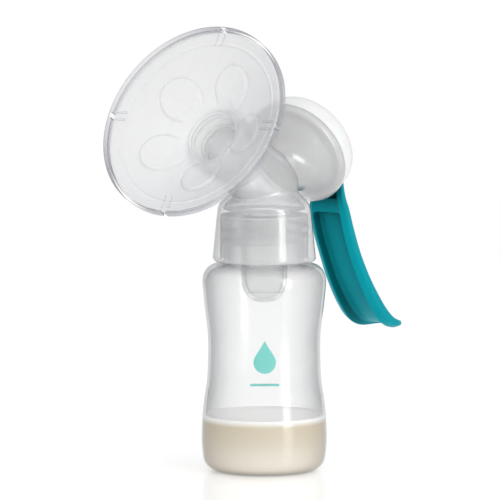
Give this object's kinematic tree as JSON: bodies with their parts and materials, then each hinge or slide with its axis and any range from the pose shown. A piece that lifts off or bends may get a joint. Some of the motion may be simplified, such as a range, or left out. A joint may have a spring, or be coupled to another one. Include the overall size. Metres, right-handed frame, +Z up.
{
  "type": "breast pump",
  "caption": "Manual breast pump on a feeding bottle, with a covered silicone-lined breast shield, a diaphragm chamber and a curved squeeze handle.",
  "frame": {"origin": "centre of the flat underside of the bottle", "axes": "+Z up along the bottle axis; +X towards the squeeze handle, -X towards the breast shield; the pump is symmetric about the XZ plane apart from its screw thread and the head of the pivot pin"},
  "size_m": [0.1765, 0.09, 0.1991],
  "materials": {
    "clear_plastic": "clear glossy polypropylene",
    "translucent_plastic": "translucent grey polypropylene, satin",
    "frosted_cap": "frosted white translucent plastic",
    "clear_cover": "thin clear plastic",
    "white_silicone": "frosted translucent silicone",
    "clear_silicone": "translucent silicone",
    "white_plastic": "white moulded plastic",
    "teal_plastic": "satin teal plastic",
    "milk": "cream-coloured milk"
  },
  "bodies": {
    "bottle": {"bottle": "clear_plastic", "milk": "milk"},
    "seal": {"neck_seal": "white_silicone"},
    "pump": {"pump_body": "translucent_plastic", "duckbill_valve": "clear_silicone"},
    "shield": {"breast_shield": "clear_plastic"},
    "cushion": {"massage_cushion": "white_silicone"},
    "cover": {"dust_cover": "clear_cover"},
    "cap": {"chamber_cap": "frosted_cap", "pivot_pin": "white_plastic", "diaphragm": "white_silicone"},
    "stem": {"diaphragm_stem": "white_plastic"},
    "handle": {"handle": "teal_plastic"}
  },
  "joints": [
    {"name": "collar_turn", "type": "hinge", "parent": "bottle", "child": "seal", "pos_m": [0, 0, 0.105], "axis": [0, 0, 1], "range_deg": [0, 540]},
    {"name": "collar_lift", "type": "slide", "parent": "seal", "child": "pump", "axis": [0, 0, 1], "range_m": [0, 0.0065]},
    {"name": "shield_pull", "type": "slide", "parent": "pump", "child": "shield", "axis": [-0.866, 0, 0.5], "range_m": [0, 0.02]},
    {"name": "cushion_pull", "type": "slide", "parent": "shield", "child": "cushion", "axis": [-0.866, 0, 0.5], "range_m": [0, 0.034]},
    {"name": "cover_pull", "type": "slide", "parent": "cushion", "child": "cover", "axis": [-0.866, 0, 0.5], "range_m": [0, 0.01]},
    {"name": "handle_swivel", "type": "hinge", "parent": "pump", "child": "cap", "pos_m": [0, 0, 0.127], "axis": [0.891, 0, 0.454], "continuous": true},
    {"name": "handle_squeeze", "type": "hinge", "parent": "cap", "child": "handle", "pos_m": [0.04827, 0, 0.13139], "axis": [0, 1, 0], "range_deg": [0, 20], "stiffness_Nm_per_rad": 0.6, "springref_deg": -2.86},
    {"name": "stem_slide", "type": "slide", "parent": "cap", "child": "stem", "axis": [0.891, 0, 0.454], "range_m": [0, 0.0062], "deforming": ["diaphragm"]}
  ],
  "couplings": [
    {"joint": "collar_lift", "follows": "collar_turn", "m_per_rad": 0.00068437},
    {"joint": "stem_slide", "follows": "handle_squeeze", "m_per_rad": 0.0177}
  ]
}
